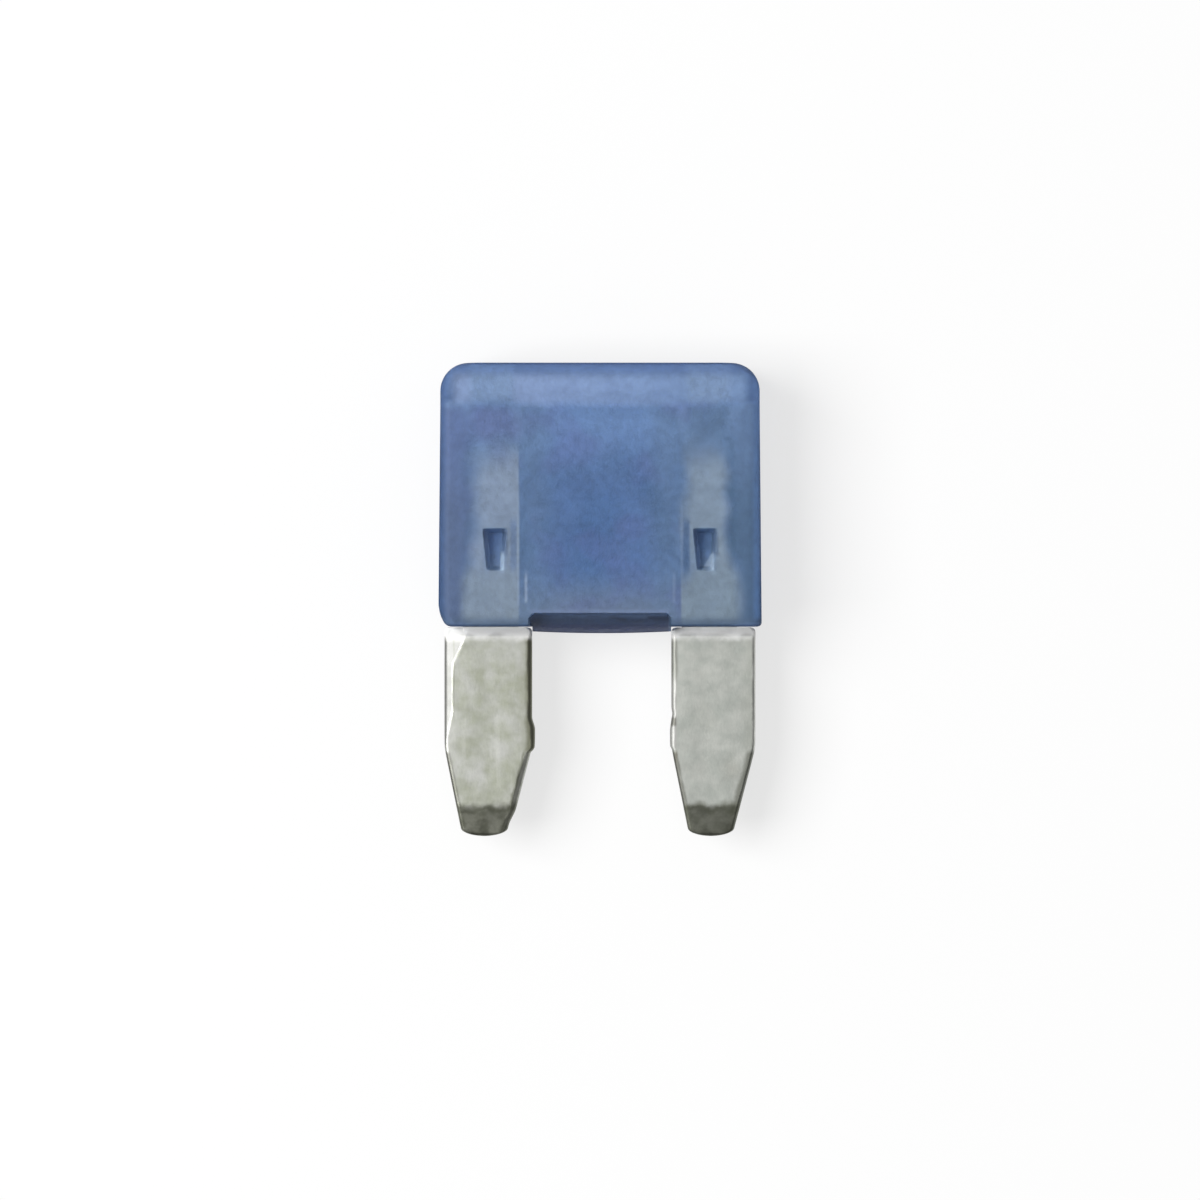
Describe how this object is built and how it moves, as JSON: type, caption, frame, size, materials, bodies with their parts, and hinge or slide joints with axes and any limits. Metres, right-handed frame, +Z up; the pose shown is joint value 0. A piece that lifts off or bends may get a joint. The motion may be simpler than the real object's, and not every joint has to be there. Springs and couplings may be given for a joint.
{
  "type": "blade fuse",
  "caption": "Small automotive blade fuse: a blue translucent moulded housing holding a one-piece stamped zinc element with two tapered blades.",
  "frame": {"origin": "middle of the footprint on the surface the fuse lies on, under its back face", "axes": "+X across the width to the right of the front face, +Y from the blades' tips to the head, +Z up through the thickness"},
  "size_m": [0.011, 0.016, 0.0036],
  "materials": {
    "blue_plastic": "translucent blue, satin moulded skin",
    "zinc": "dull grey zinc strip with rolled edges and darker coined tips"
  },
  "bodies": {
    "root": {"housing": "blue_plastic", "fuse_element": "zinc"}
  },
  "joints": []
}
